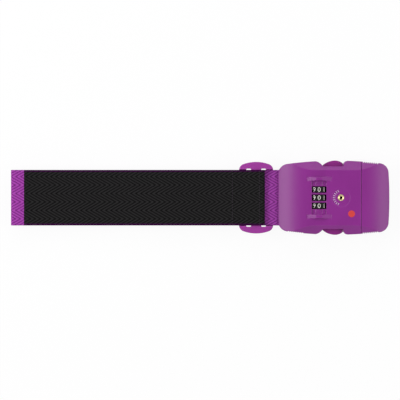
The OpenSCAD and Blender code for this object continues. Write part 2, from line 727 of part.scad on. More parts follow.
// a prong: round root, arm, bulged pad that shows in the notch, and the cam on its inner face
module prong() {
    tip = x_pad - 11.6;
    pad_y = half_w + 0.1;
    outer = prong_y + arm_t / 2;
    inner = prong_y - arm_t / 2;
    along_z(prong_z, prong_z + prong_h) {
        translate([x_prong, prong_y]) circle(root_r);
        polygon([[x_prong, outer], [tip, outer + 1.4], [tip, prong_y + 1], [x_pad + 3.6, inner],
            [x_prong, inner + 0.4]]);
        intersection() {
            translate([x_pad, pad_y - 17]) circle(17);
            translate([tip, outer - 1]) square([x_pad - tip, 20]);
        }
        intersection() {
            translate([x_pad, pad_y - 10.5]) circle(10.5);
            translate([x_pad - eps, outer - 2]) square([x_catch - 0.3 - x_pad, 20]);
        }
    }
    along_z(plate_z - 0.1, plate_z + plate_t + 0.1) {
        translate([cam_x, cam_y]) circle(cam_r);
        translate([cam_x - cam_r, cam_y]) square([2 * cam_r, inner - cam_y + 1]);
    }
}
module prong_rear() color(purple) prong();
module prong_front() color(purple) mirror([0, 1, 0]) prong();

// the tri-glide: its middle bar sits high, so that the main run passes flat under it
module slider() {
    near = web_w / 2 + 0.35;
    cap_in = web_w / 2 + 1.2;
    top = mid_bar_z + slider_mid_t;
    slot_in = slider_mid_bar / 2;
    slot_out = slider_len / 2 - slider_bar;
    crown = 34;
    corner = 6;
    arch = 110;
    // corner circles that meet the crowned ends smoothly
    corner_x = slider_len / 2 - corner;
    rise = slider_w / 2 - crown + sqrt(pow(crown - corner, 2) - pow(corner_x, 2));
    crown_x = corner_x * crown / (crown - corner);
    color(purple) translate([x_slider, 0, 0]) {
        intersection() {
            along_z(slider_z, top + 0.05) intersection() {
                translate([0, slider_w / 2 - crown]) circle(crown, $fn = 180);
                translate([0, crown - slider_w / 2]) circle(crown, $fn = 180);
                union() {
                    translate([-slider_len / 2, -rise]) square([slider_len, 2 * rise]);
                    translate([-crown_x, -slider_w / 2]) square([2 * crown_x, slider_w]);
                    for (x = [-1, 1] * corner_x, y = [-1, 1] * rise) translate([x, y]) circle(corner);
                }
            }
            difference() {
                shaft(0, top - arch, [-slider_w, slider_w], arch);
                block([-30, 30], [-near, near], [slider_z + slider_bar_t, top + 1]);
                block([-slot_out, slot_out], [-near, near], [0, top + 1]);
                for (s = [-1, 1])
                    block([min(s * slot_in, s * slot_out), max(s * slot_in, s * slot_out)],
                        [-cap_in, cap_in], [0, top + 1]);
            }
        }
        along_y(2 * cap_in + 1) {
            translate([-slider_mid_bar / 2 + 0.9, mid_bar_z]) square([slider_mid_bar - 1.8, slider_mid_t]);
            translate([-slider_mid_bar / 2, mid_bar_z + 0.9]) square([slider_mid_bar, slider_mid_t - 1.8]);
            for (x = [-1, 1], z = [0.9, slider_mid_t - 0.9])
                translate([x * (slider_mid_bar / 2 - 0.9), mid_bar_z + z]) circle(0.9);
        }
    }
}

module webbing_main() color(strap_purple) strip(main_path);
module webbing_return() color(strap_purple) strip(return_path);
module webbing_front() color(strap_purple) strip(front_path(x_left + fold_r + 0.5));
module webbing_slider_end() color(print_black) strip(slider_path);
module webbing_tongue_end() color(strap_purple) strip(tongue_path);

// the printed layer on the front run
module print_panel() color(print_black)
    strip(front_path(x_fold + print_end), web_t / 2, web_t / 2 + print_t, web_w - 2 * print_edge);

top_cover();
bottom_cover();
lock_pin();
cover_screws();
dial_axle();
detent_leaf();
dial_1();
dial_2();
dial_3();
code_sleeve_1();
code_sleeve_2();
code_sleeve_3();
lock_plate();
gate_feelers();
plate_spring();
key_barrel();
key_plug();
key_cam();
reset_plunger();
reset_spring();
tongue_top();
tongue_bottom();
tongue_pin();
tongue_screws();
prong_front();
prong_rear();
slider();
webbing_main();
webbing_return();
webbing_front();
print_panel();
webbing_slider_end();
webbing_tongue_end();
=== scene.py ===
"""Luggage strap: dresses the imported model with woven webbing, moulded shells, dials and stitching."""

import math

import bmesh
import bpy
import numpy as np
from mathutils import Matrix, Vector
from mathutils.bvhtree import BVHTree


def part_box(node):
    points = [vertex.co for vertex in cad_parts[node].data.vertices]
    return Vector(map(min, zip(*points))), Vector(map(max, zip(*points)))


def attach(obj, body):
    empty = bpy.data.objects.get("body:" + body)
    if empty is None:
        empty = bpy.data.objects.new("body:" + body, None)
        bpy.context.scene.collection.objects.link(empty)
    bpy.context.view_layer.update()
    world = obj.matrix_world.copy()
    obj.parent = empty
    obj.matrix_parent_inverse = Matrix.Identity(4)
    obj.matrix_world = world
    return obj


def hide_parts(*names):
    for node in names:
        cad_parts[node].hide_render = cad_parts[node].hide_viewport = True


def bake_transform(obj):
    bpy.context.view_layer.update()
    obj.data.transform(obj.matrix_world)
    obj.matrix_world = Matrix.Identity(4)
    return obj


bl_info = {
    "name": "Luggage strap",
    "version": (1, 0, 0),
    "blender": (4, 5, 0),
    "location": "3D View > Sidebar > Strap",
    "description": "Dresses a packed luggage strap: webbing, slider, buckle, dials, stitches and stage",
    "category": "Object",
}

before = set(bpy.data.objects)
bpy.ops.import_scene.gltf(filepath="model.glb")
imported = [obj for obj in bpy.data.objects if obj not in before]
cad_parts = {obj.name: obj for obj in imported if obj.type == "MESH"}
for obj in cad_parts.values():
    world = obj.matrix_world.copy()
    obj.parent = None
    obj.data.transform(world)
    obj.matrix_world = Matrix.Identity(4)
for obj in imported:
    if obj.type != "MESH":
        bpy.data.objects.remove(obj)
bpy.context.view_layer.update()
MM = 0.001


# sizes and colours


def linear(red, green, blue):
    """A colour read off a screen, 0 to 255, as Blender's linear RGBA."""
    part = [c / 255 for c in (red, green, blue)]
    return tuple(c / 12.92 if c <= 0.04045 else ((c + 0.055) / 1.055) ** 2.4 for c in part) + (1.0,)


def colour(name, text, *rgb):
    return bpy.props.FloatVectorProperty(
        name=name, description=text, subtype="COLOR", size=4, min=0, max=1, default=linear(*rgb)
    )


def length(name, text, mm):
    return bpy.props.FloatProperty(
        name=name, description=text, unit="LENGTH", subtype="DISTANCE", precision=5, default=mm * MM
    )


def number(name, text, value, **more):
    return bpy.props.FloatProperty(name=name, description=text, default=value, **more)


class StrapColours(bpy.types.PropertyGroup):
    # the next two colours are painted light: the raised yarns' colour carries a painted highlight, and the
    # valley colour is painted shade between the twill ridges
    webbing: colour("Webbing", "Raised yarns of the dyed webbing", 182, 79, 187)
    webbing_deep: colour("Webbing valleys", "Yarns between the twill ridges", 111, 33, 116)
    # the next two colours are painted light on the black print: a painted highlight on the raised yarns and
    # painted shade in the valleys
    ink: colour("Print", "Raised yarns under the black print", 46, 45, 46)
    ink_deep: colour("Print valleys", "Yarns between the ridges under the print", 3, 3, 3)
    rim: colour("Rim", "Edges of the webbing beside the print, stained by it", 52, 6, 55)
    shell: colour("Buckle", "Moulded plastic of both buckle halves", 134, 36, 134)
    # a slightly deeper purple than the buckle: painted shade for the prongs, which sit under the covers
    pad: colour("Squeeze pads", "Moulded plastic of the two prongs", 138, 33, 128)
    slider: colour("Slider", "Moulded plastic of the slider", 151, 53, 147)
    dial: colour("Dials", "Moulded plastic of the dials", 15, 12, 14)
    digit: colour("Digits", "Paint of the numbers on the dials", 236, 233, 226)
    brass: colour("Brass", "Key lock", 226, 204, 158)
    aged_brass: colour("Aged brass", "Code sleeves under the dials", 74, 60, 40)
    steel: colour("Steel", "Pins, springs and screws", 178, 180, 184)
    acetal: colour("Acetal", "Sliding plate and plunger inside the lock", 222, 218, 206)
    thread: colour("Thread", "Sewing thread on the bare webbing", 84, 20, 88)
    dark_thread: colour("Dark thread", "Sewing thread on the print", 40, 22, 42)
    dot: colour("Dot", "Round paint mark beside the key", 214, 62, 58)
    tick: colour("Ticks", "Plain index ticks round the key", 214, 186, 216)
    floor: colour("Floor", "The pale floor", 246, 246, 247)


class WeaveSizes(bpy.types.PropertyGroup):
    width: length("Width", "Width of the webbing", 50)
    thickness: length("Thickness", "Thickness of the webbing", 1.2)
    band: length("Band", "Width of a herringbone band", 7.6)
    yarns: bpy.props.IntProperty(name="Yarns", description="Warp yarns in each band", default=12)
    pitch: length("Twill pitch", "Spacing of the twill ridges along the strap", 4.5)
    slant: number("Twill slant", "Run of a ridge along the strap for its run across", 1.77)
    relief: length("Relief", "Depth of the valleys between the ridges", 0.2)
    rim: length("Rim", "Edge of the webbing that the print only stains", 1.7)
    print_from: length("Print start", "Where the print starts along the strap", -158.4)


class BuckleSizes(bpy.types.PropertyGroup):
    grain: length("Grain", "Smallest detail kept of the moulded shells, which rounds their edges", 0.25)
    digit: length("Digit height", "Height of the numbers on the dials", 3.9)
    dot: length("Dot radius", "Radius of the paint mark beside the key", 3.1)
    stitch: length("Stitch", "Length of one stitch", 1.5)
    stitch_pitch: length("Stitch pitch", "Spacing of the stitches", 2.1)
    thread: length("Thread", "Thickness of the sewing thread", 0.42)


class StageSizes(bpy.types.PropertyGroup):
    view: length("View", "Width of the picture at the strap", 359.5)
    lens: number("Lens", "Focal length in millimetres", 400.0)
    left: number("Left light", "Power of the soft light on the left", 13.5, unit="POWER")
    back: number("Back light", "Power of the soft light behind the strap", 8.0, unit="POWER")
    right: number("Right light", "Power of the soft light on the right", 6.5, unit="POWER")
    front: number("Front light", "Power of the soft light before the strap", 2.5, unit="POWER")
    sky: number("Sky", "Strength of the plain light from all round", 0.3)
    gleam: number("Gleam", "Strength of the plain light that shiny faces mirror", 0.6)


GROUPS = (
    ("strap_colours", StrapColours),
    ("strap_weave", WeaveSizes),
    ("strap_buckle", BuckleSizes),
    ("strap_stage", StageSizes),
)


def sizes(group):
    return getattr(bpy.context.scene, "strap_" + group)


def shade(name):
    return tuple(getattr(sizes("colours"), name))


# node trees


class Socket:
    """An output of a tree on which Python's operators add Math nodes."""

    def __init__(self, graph, end):
        self.graph, self.end = graph, end

    def apply(self, operation, *others):
        """Adds a Math node that takes this output before the others."""
        return math_method(operation)(self, *others)


def math_method(operation, swapped=False):
    """A method of sockets that adds a Math node; swapped puts the other value first."""

    def method(socket, *others):
        values = (*others, socket) if swapped else (socket, *others)
        return socket.graph.node("ShaderNodeMath", {"operation": operation}, dict(enumerate(values)))

    return method


SIGNS = {
    "add": "ADD", "sub": "SUBTRACT", "mul": "MULTIPLY", "truediv": "DIVIDE", "pow": "POWER",
    "mod": "FLOORED_MODULO", "gt": "GREATER_THAN", "lt": "LESS_THAN", "abs": "ABSOLUTE",
}
for sign, operation in SIGNS.items():
    setattr(Socket, f"__{sign}__", math_method(operation))
for sign in ("add", "sub", "mul", "truediv", "pow", "mod"):
    setattr(Socket, f"__r{sign}__", math_method(SIGNS[sign], swapped=True))


class Graph:
    """A node tree with one method that adds any node."""

    def __init__(self, tree):
        self.tree = tree
        tree.nodes.clear()

    def node(self, kind, settings=(), sockets=(), out=0):
        made = self.tree.nodes.new(kind)
        for key, value in dict(settings).items():
            setattr(made, key, value)
        for key, value in dict(sockets).items():
            if isinstance(value, Socket):
                self.tree.links.new(value.end, made.inputs[key])
            else:
                made.inputs[key].default_value = value
        return Socket(self, made.outputs[out]) if made.outputs else None

    def rays(self):
        """Three outputs that say whether a ray left the camera, a mirror or glass."""
        kinds = ("Camera", "Glossy", "Transmission")
        return [self.node("ShaderNodeLightPath", out=f"Is {kind} Ray") for kind in kinds]


class Finish(Graph):
    """A material."""

    def __init__(self, name):
        self.material = bpy.data.materials.new(name)
        self.material.use_nodes = True
        super().__init__(self.material.node_tree)

    def mix(self, factor, first, second, blend="MIX"):
        # the colours of a Mix node are its inputs 6 and 7 and its output 2
        settings = {"data_type": "RGBA", "blend_type": blend}
        return self.node("ShaderNodeMix", settings, {0: factor, 6: first, 7: second}, 2)

    def place(self):
        return self.node("ShaderNodeTexCoord", out="Object")

    def split(self, vector):
        return [self.node("ShaderNodeSeparateXYZ", {}, {0: vector}, axis) for axis in "XY"]

    def noise(self, scale, detail=2.0, rough=0.5, vector=None, stretch=None):
        where = vector or self.place()
        if stretch:
            where = self.node("ShaderNodeMapping", {}, {"Vector": where, "Scale": stretch})
        ends = {"Vector": where, "Scale": scale, "Detail": detail, "Roughness": rough}
        return self.node("ShaderNodeTexNoise", {}, ends)

    def bump(self, height, strength, depth):
        ends = {"Strength": strength, "Distance": depth, "Height": height}
        return self.node("ShaderNodeBump", {}, ends)

    def surface(self, **sockets):
        named = {key.replace("_", " "): value for key, value in sockets.items()}
        skin = self.node("ShaderNodeBsdfPrincipled", {}, named)
        self.node("ShaderNodeOutputMaterial", {}, {"Surface": skin})
        return self.material


finishes = {}


def finish(name):
    if name not in finishes:
        build, *values = FINISHES[name]
        finishes[name] = build(Finish(name), *values)
    return finishes[name]


def scaled(tint, factor, more=0):
    """A colour made paler or deeper."""
    return tuple(min(1, c * factor + more) for c in tint[:3]) + (1,)


def moulded(f, tint, rough=0.27, shine=0.34):
    """Satin moulded plastic: spark-eroded grain, faint flow marks, and paler edges that are partly handling
    wear and partly a painted highlight.
    """
    grain = f.noise(2600, 3, 0.6)
    flow = f.noise(55, 3, 0.55, stretch=(1, 0.35, 1))
    worn = f.node("ShaderNodeAttribute", {"attribute_name": "worn"}, out="Fac")
    # sharp edges are painted paler: partly handling wear, partly a painted highlight along the creases
    rubbed_and_highlit = worn * (0.25 + 0.75 * f.noise(420, 4, 0.65))
    base = shade(tint)
    skin = f.mix(flow, scaled(base, 0.86), scaled(base, 1.12))
    return f.surface(
        Base_Color=f.mix(rubbed_and_highlit * 0.55, skin, scaled(base, 1.3, 0.1 * max(base[:3]))),
        Roughness=rough + 0.1 * grain + 0.06 * flow - 0.05 * rubbed_and_highlit,
        Specular_IOR_Level=shine,
        Normal=f.bump(grain, 0.12, 0.00012),
    )


def metal(f, tint, rough, brushed):
    """Bright metal with fine turning marks and a little tarnish."""
    marks = f.noise(900, 4, 0.7, stretch=brushed)
    tarnish = f.noise(160, 3, 0.6)
    base = shade(tint)
    return f.surface(
        Base_Color=f.mix(tarnish * 0.55, base, scaled(base, 0.62)),
        Metallic=1.0,
        Roughness=rough + 0.16 * marks,
        Normal=f.bump(marks, 0.1, 0.00006),
    )


def acetal(f):
    """Slippery natural plastic of the hidden sliders."""
    cloud = f.noise(240, 3, 0.5)
    base = shade("acetal")
    return f.surface(
        Base_Color=f.mix(cloud, base, scaled(base, 0.9)),
        Roughness=0.3 + 0.12 * cloud,
        Normal=f.bump(f.noise(1800), 0.06, 0.0001),
    )


def paint(f, tint, rough=0.45):
    """Thin printed paint that is a little uneven."""
    uneven = f.noise(1500, 3, 0.6)
    base = shade(tint)
    return f.surface(
        Base_Color=f.mix(uneven * 0.5, base, scaled(base, 0.8)),
        Roughness=rough + 0.12 * uneven,
        Normal=f.bump(uneven, 0.1, 0.00006),
    )


def spun(f, tint):
    """Twisted sewing thread, with painted shade in the grooves of its twist."""
    turning = 9000  # radians of twist in a metre
    along, across = f.split(f.place())
    twist = 0.5 + 0.5 * ((along + across) * turning).apply("SINE")
    base = shade(tint)
    return f.surface(
        # the colour is deeper where the twist sinks: painted shade in the grooves
        Base_Color=f.mix(twist, scaled(base, 0.62), base),
        Roughness=0.6 + 0.15 * twist,
        Normal=f.bump(twist, 0.35, 0.00008),
    )


def woven(f, printed):
    """Herringbone webbing: twill ridges of twisted yarn, with painted shade in their valleys and a painted
    highlight on their crowns, with or without the black print.
    """
    weave = sizes("weave")
    side, run = f.split(f.node("ShaderNodeUVMap", {"uv_map": "cloth"}))
    # warp yarns run along the strap, and each floats over the wefts a step later than its neighbour
    yarn = (side - weave.width / 2) * (weave.yarns / weave.band)
    middle = (yarn.apply("FLOOR") + 0.5) / weave.yarns
    bias = (abs((middle + 0.5) % 2.0 - 1) - 0.5) * (weave.band * weave.slant)
    count = (run - bias) / weave.pitch
    ridge = 1 - abs(2 * (count % 1.0) - 1) ** CREST
    strand = 1 - abs(2 * (yarn % 1.0) - 1) ** 2
    lie = f.node("ShaderNodeCombineXYZ", {}, {0: side * 5200, 1: run * 500})
    fibre = f.noise(1.0, 3, 0.65, vector=lie)
    height = (0.25 + 0.3 * strand) * ridge + 0.25 * strand + 0.2 * fibre
    # the colour runs from painted shade in the valleys to a painted highlight on the crowns of the ridges and
    # yarns
    lit = ridge**2 * (0.6 + 0.4 * strand)
    body = f.mix(lit, shade("webbing_deep"), shade("webbing"))
    if printed:
        bleed = (f.noise(900, 2) - 0.5) * 0.0004
        inset = (side + bleed > weave.rim) * (side + bleed < weave.width - weave.rim)
        begun = run + bleed > print_start()
        # the print gets the same painted shade in the valleys and painted highlight on the crowns
        inked = f.mix(lit, shade("ink_deep"), shade("ink"))
        body = f.mix(begun, body, f.mix(inset, shade("rim"), inked))
    return f.surface(
        # fibres that lie low are darker: random tone together with painted shade in their dips
        Base_Color=f.mix(0.22 * (1 - fibre), body, (0.35, 0.35, 0.35, 1), "MULTIPLY"),
        Roughness=0.74 + 0.14 * fibre,
        Specular_IOR_Level=0.05 if printed else 0.14,
        Normal=f.bump(height, 0.6, 0.00026),
    )


def pale_floor(f):
    """A matt pale floor that shows the camera a plain white."""
    camera, mirror, glass = f.rays()
    seen = (camera + mirror + glass).apply("MINIMUM", 1)
    matt = f.node("ShaderNodeBsdfDiffuse", {}, {"Color": shade("floor"), "Roughness": 0.5})
    lit = f.node("ShaderNodeEmission", {}, {"Color": (1, 1, 1, 1), "Strength": 1.0})
    both = f.node("ShaderNodeMixShader", {}, {0: seen * 0.92, 1: matt, 2: lit})
    f.node("ShaderNodeOutputMaterial", {}, {"Surface": both})
    return f.material


FINISHES = {
    "buckle_plastic": (moulded, "shell"),
    # the prongs' plastic is the buckle plastic in a deeper purple, as painted shade
    "pad_plastic": (moulded, "pad"),
    "slider_plastic": (moulded, "slider"),
    "dial_plastic": (moulded, "dial", 0.5, 0.2),
    # black plastic painted into the keyhole as its shade
    "keyhole_black": (moulded, "dial", 0.7, 0.1),
    "digit_paint": (paint, "digit"),
    "dot_paint": (paint, "dot", 0.35),
    "tick_paint": (paint, "tick"),
    "turned_brass": (metal, "brass", 0.2, (1, 1, 0.1)),
    "aged_brass": (metal, "aged_brass", 0.5, (1, 0.1, 1)),
    "drawn_steel": (metal, "steel", 0.28, (1, 0.1, 1)),
    "natural_acetal": (acetal,),
    "purple_thread": (spun, "thread"),
    "dark_thread": (spun, "dark_thread"),
    "webbing": (woven, False),
    "printed_webbing": (woven, True),
    "pale_floor": (pale_floor,),
}


# mesh helpers

WELD = 3e-6  # points closer than this, in metres, are one point
SHARPEST = 1100  # bend of an edge, in radians for each metre, that gets the full paler edge of wear and painted highlight


def linked(name, data):
    """A new object in the scene."""
    obj = bpy.data.objects.new(name, data)
    bpy.context.scene.collection.objects.link(obj)
    return obj


def show(name, mesh, *materials):
    """A new object at the origin that shows a mesh."""
    obj = linked(name, mesh)
    mesh.name = name
    mesh.materials.clear()
    for material in materials:
        mesh.materials.append(finish(material))
    return obj


def made_by(obj):
    """A new mesh of what an object's modifiers or text make."""
    bpy.context.view_layer.update()
    return bpy.data.meshes.new_from_object(obj.evaluated_get(bpy.context.evaluated_depsgraph_get()))


def settle(obj):
    """Turns what an object's modifiers make into its own plain mesh."""
    made = made_by(obj)
    if not made.polygons:
        raise RuntimeError(obj.name + " came out empty")
    obj.modifiers.clear()
    old, obj.data = obj.data, made
    bpy.data.meshes.remove(old)
    made.name = obj.name
    return obj


def drawn(name, bm):
    """A new mesh of a bmesh, which is freed."""
    mesh = bpy.data.meshes.new(name)
    bm.to_mesh(mesh)
    bm.free()
    return mesh


def modify(obj, kind, **settings):
    made = obj.modifiers.new(kind.title(), kind)
    for key, value in settings.items():
        setattr(made, key, value)
    return made


def softened(name, node, grain, material, most, rounds=5):
    """A copy of a CAD node as one moulded skin with rounded edges, of at most so many triangles."""
    bm = bmesh.new()
    bm.from_mesh(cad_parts[node].data)
    bmesh.ops.remove_doubles(bm, verts=bm.verts, dist=WELD)
    obj = show(name, drawn(name, bm), material)
    modify(obj, "REMESH", mode="VOXEL", voxel_size=grain, adaptivity=0)
    modify(obj, "SMOOTH", factor=0.5, iterations=rounds)
    settle(obj)
    modify(obj, "TRIANGULATE")
    thin = modify(obj, "DECIMATE", use_collapse_triangulate=True)
    thin.ratio = min(1, most / (2 * len(obj.data.polygons)))
    settle(obj)
    mark_worn(obj.data)
    obj.data.shade_smooth()
    return obj


def mark_worn(mesh):
    """Writes how sharply each corner of a mesh sticks out, for its paler edges: handling wear and a painted
    highlight.
    """
    count = len(mesh.vertices)
    place, normal = np.empty((2, count * 3), np.float32)
    mesh.vertices.foreach_get("co", place)
    mesh.vertex_normals.foreach_get("vector", normal)
    place, normal = place.reshape(-1, 3), normal.reshape(-1, 3)
    ends = np.empty(len(mesh.edges) * 2, np.int32)
    mesh.edges.foreach_get("vertices", ends)
    a, b = ends.reshape(-1, 2).T
    step = place[a] - place[b]
    bend = np.sum((normal[a] - normal[b]) * step, 1) / np.maximum(np.sum(step * step, 1), 1e-12)
    total = np.bincount(a, bend, count) + np.bincount(b, bend, count)
    share = np.bincount(a, minlength=count) + np.bincount(b, minlength=count)
    worn = np.clip(total / np.maximum(share, 1) / SHARPEST, 0, 1).astype(np.float32)
    mesh.attributes.new("worn", "FLOAT", "POINT").data.foreach_set("value", worn)


def dress(node, material):
    """Gives a CAD node that stays as it is a better material."""
    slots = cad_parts[node].data.materials
    slots.clear()
    slots.append(finish(material))


# webbing

# all sizes of the folded strap are in mm: the heights of its layers, and the radius of its loops
LAYER = [0.6 + 1.35 * k for k in range(8)]
LOOP = 2.25

# routes of the webbing, as corners of (x, z, radius); at the lock pin a leg slopes by 24 degrees, and at the
# tongue pin two legs slope by 20 degrees
MAIN_ROUTE = [
    (66.4, 9.45, 0), (72.3467, 9.45, 4), (82.15, 5.0853, LOOP), (82.15, 10.8, LOOP), (-33, 10.8, 60),
    (-73, LAYER[6], 60), (-125.6, LAYER[6], 60), (-155.6, 10.8, 60), (-168.25, 10.8, 1.725),
    (-168.25, LAYER[5], 1.725), (62.8, LAYER[5], 2.025), (62.8, LAYER[2], 2.025),
    (-167.2, LAYER[2], 0.675), (-167.2, LAYER[1], 0.675), (-150, LAYER[1], 0),
]
RETURN_ROUTE = [
    (-150, LAYER[0], 0), (-168.55, LAYER[0], 2.025), (-168.55, LAYER[3], 2.025), (61.45, LAYER[3], 0.675),
    (61.45, LAYER[4], 0.675), (-165.5, LAYER[4], 0),
]
FRONT_ROUTE = [
    (-165.5, LAYER[4], 0), (-169.6, LAYER[4], 3.075), (-169.6, 12.15, 3.075), (-155.6, 12.15, 60),
    (-125.6, LAYER[7], 60), (-73, LAYER[7], 60), (-33, 12.15, 60), (15.2, 12.15, 20), (23.2, 13.5, 20),
    (38.4, 13.5, 6), (45.9, 15.7, 4), (57.6, 15.7, 1.775), (57.6, 12.15, 1.775), (24.7, 12.15, 0),
]
UNDER_ROUTE = [
    (-150, LAYER[1], 0), (165.45, LAYER[1], 3.05), (165.45, 8.05, 3.05), (158.824, 8.05, 4),
    (151.85, 5.51167, LOOP), (151.85, 11.93833, LOOP), (158.824, 9.4, 4), (166.8, 9.4, 4.4),
    (166.8, LAYER[0], 4.4), (-150, LAYER[0], 0),
]

# how the strips are meshed, with lengths in mm
ARC_STEP = math.radians(4)  # turn from point to point in a rounded corner
FOLD = 1.0  # a corner that turns further than this, in radians, is a fold
TIGHT = 0.09  # a line that turns more than this, in radians for each mm, needs close rows
MARGIN = 9  # rows stay close this far beside a bend or a raised stretch
STRAIGHTEN = 16  # length beside a fold in which the slanting rows turn straight
RAMP = 3  # length in which the ridges rise at the ends of a raised stretch
CREST = 2.4  # power that shapes a ridge, higher for a broader crest
SELVEDGE = np.array([0, 0.12, 0.4, 0.9])  # steps in from the edge
SELVEDGE_SHARE = np.array([0.42, 0.74, 0.96, 1])  # how much of the thickness is left at each step


class Route:
    """A centre line in the side view, with rounded corners, that gives its place at any run length."""

    def __init__(self, corners):
        corners = np.array(corners, float)
        points, folds = [corners[0, :2]], []
        for before, here, after in zip(corners, corners[1:], corners[2:]):
            u, v = before[:2] - here[:2], after[:2] - here[:2]
            u, v = u / np.linalg.norm(u), v / np.linalg.norm(v)
            half = math.acos(np.clip(u @ v, -1, 1)) / 2
            middle = here[:2] + (u + v) / np.linalg.norm(u + v) * here[2] / math.sin(half)
            start = here[:2] + u * here[2] / math.tan(half) - middle
            sweep = (math.pi - 2 * half) * (-1 if u[0] * v[1] - u[1] * v[0] > 0 else 1)
            count = max(2, math.ceil(abs(sweep) / ARC_STEP))
            if abs(sweep) > FOLD:
                folds.append((*(middle + start), abs(sweep) * here[2]))
            for a in np.linspace(0, sweep, count + 1):
                turn = np.array([[math.cos(a), -math.sin(a)], [math.sin(a), math.cos(a)]])
                points.append(middle + turn @ start)
        points.append(corners[-1, :2])
        points = np.array(points)
        keep = np.r_[True, np.linalg.norm(np.diff(points, axis=0), axis=1) > 1e-4]
        self.points = points[keep]
        legs = np.diff(self.points, axis=0)
        size = np.linalg.norm(legs, axis=1)
        self.run = np.r_[0, np.cumsum(size)]
        normal = np.stack([-legs[:, 1], legs[:, 0]], 1) / size[:, None]
        self.normals = np.concatenate([normal[:1], normal[1:] + normal[:-1], normal[-1:]])
        self.normals /= np.linalg.norm(self.normals, axis=1)[:, None]
        turn = np.abs(np.arctan2(normal[1:, 0] * normal[:-1, 1] - normal[1:, 1] * normal[:-1, 0], 1))
        self.bends = self.run[1:-1][turn / np.minimum(size[1:], size[:-1]) > TIGHT]
        self.length = self.run[-1]
        # the stretches that fold back sharply, and the two ends, where rows run straight across
        folds = np.array(folds)
        gap = np.linalg.norm(self.points[None] - folds[:, None, :2], axis=2)
        starts = self.run[gap.argmin(1)]
        folds = np.stack([starts, starts + folds[:, 2]], 1)
        self.folds = np.r_[[(0, 0)], folds, [(self.length, self.length)]]

    def at(self, run):
        columns = (*self.points.T, *self.normals.T)
        x, z, nx, nz = (np.interp(run, self.run, column) for column in columns)
        size = np.hypot(nx, nz)
        return x, z, nx / size, nz / size

    def where(self, x, after=0):
        """The first run length past a start at which the line reaches an x."""
        run = np.arange(after, self.length, 0.05)
        place = np.interp(run, self.run, self.points[:, 0])
        return run[np.nonzero(np.diff(np.sign(place - x)))[0][0]]


FRONT = Route(FRONT_ROUTE)


def print_start():
    """How far along the front strip, past its fold, the print starts, in metres."""
    fold_end = FRONT.where(-166, 8)
    return FRONT.where(sizes("weave").print_from / MM, fold_end) * MM


def weave_strip(name, route, relief, materials, way=1):
    """A closed strip of webbing whose rows follow the twill, with ridges wherever relief says so.

    A strip that runs the other way starts its herringbone one band on, so that neighbours match.
    """
    weave = sizes("weave")
    width, half, pitch = weave.width / MM, weave.thickness / MM / 2, weave.pitch / MM
    band = weave.band / MM
    # columns: four to a herringbone band, and a rounded selvedge at both edges
    turns = np.arange(math.ceil(-2 * width / band), math.ceil(2 * width / band)) * band / 4 + width / 2
    inner = turns[(turns > 1) & (turns < width - 1)]
    y = np.unique(np.r_[SELVEDGE, inner, width - SELVEDGE])
    inset = np.minimum(y, width - y)
    fat = half * np.interp(inset, SELVEDGE, SELVEDGE_SHARE)
    ridged = np.interp(inset, [0.3, 1.2], [0, 1])
    zigzag = (np.abs(((y - width / 2) / band + 0.5) % 2 - 1) - 0.5) * band * weave.slant * way
    # rows: ten to a ridge where the weave is raised, close where the strip bends, few elsewhere
    fine, close, far = pitch / 10, 0.6, 2 * pitch
    rows = [0.0]
    while rows[-1] < route.length - 1e-6:
        here = rows[-1]
        tight = len(route.bends) and np.min(np.abs(route.bends - here)) < MARGIN
        raised = any(a - MARGIN <= here <= b + MARGIN for a, b in relief)
        rows.append(min(route.length, here + (fine if raised else close if tight else far)))
    v = np.array(rows)
    before, after = route.folds[None, :, 0] - v[:, None], v[:, None] - route.folds[None, :, 1]
    away = np.maximum(before, after).clip(0).min(1)
    fade = np.clip(away / STRAIGHTEN, 0, 1)
    fade = fade * fade * (3 - 2 * fade)
    run = np.clip(v[:, None] + zigzag[None] * fade[:, None], 0, route.length)
    x, z, nx, nz = route.at(run)
    raised = np.zeros_like(run)
    for a, b in relief:
        raised = np.maximum(raised, np.clip(np.minimum(run - a, b - run) / RAMP, 0, 1))
    ridge = 1 - np.abs(2 * ((v / pitch) % 1) - 1) ** CREST
    full = np.clip((fade - 0.9) / 0.1, 0, 1)
    sink = weave.relief / MM * ((1 - ridge) * full)[:, None] * raised * ridged[None]
    thick = fat[None] - sink
    level = np.broadcast_to(y - width / 2, run.shape)
    upper = np.stack([x + nx * thick, level, z + nz * thick], -1)
    lower = np.stack([x - nx * thick, level, z - nz * thick], -1)
    n, m = run.shape
    points = np.concatenate([upper.reshape(-1, 3), lower.reshape(-1, 3)]) * MM
    top = np.arange(n * m).reshape(n, m)
    low = top + n * m

    def quads(a, b, c, d):
        return np.stack([k.ravel() for k in (a, b, c, d)], 1)

    front = quads(top[:-1, :-1], top[1:, :-1], top[1:, 1:], top[:-1, 1:])
    faces = np.concatenate([
        front,
        quads(low[:-1, :-1], low[:-1, 1:], low[1:, 1:], low[1:, :-1]),
        quads(low[:-1, 0], low[1:, 0], top[1:, 0], top[:-1, 0]),
        quads(top[:-1, -1], top[1:, -1], low[1:, -1], low[:-1, -1]),
        quads(top[0, :-1], top[0, 1:], low[0, 1:], low[0, :-1]),
        quads(low[-1, :-1], low[-1, 1:], top[-1, 1:], top[-1, :-1]),
    ])
    mesh = bpy.data.meshes.new(name)
    mesh.from_pydata(points.tolist(), [], faces.tolist())
    corner = np.empty(len(mesh.loops), np.int32)
    mesh.loops.foreach_get("vertex_index", corner)
    across = np.broadcast_to(y if way > 0 else y + band, run.shape)
    flat = np.stack([np.tile(k.ravel(), 2)[corner] for k in (across, run)], 1) * MM
    mesh.uv_layers.new(name="cloth").data.foreach_set("uv", flat.astype(np.float32).ravel())
    mesh.update()
    obj = show(name, mesh, *materials)
    if len(materials) > 1:
        index = np.ones(len(faces), np.int32)
        index[: len(front)] = 0
        mesh.polygons.foreach_set("material_index", index)
    mesh.shade_smooth()
    mesh.set_sharp_from_angle(angle=math.radians(60))
    return obj


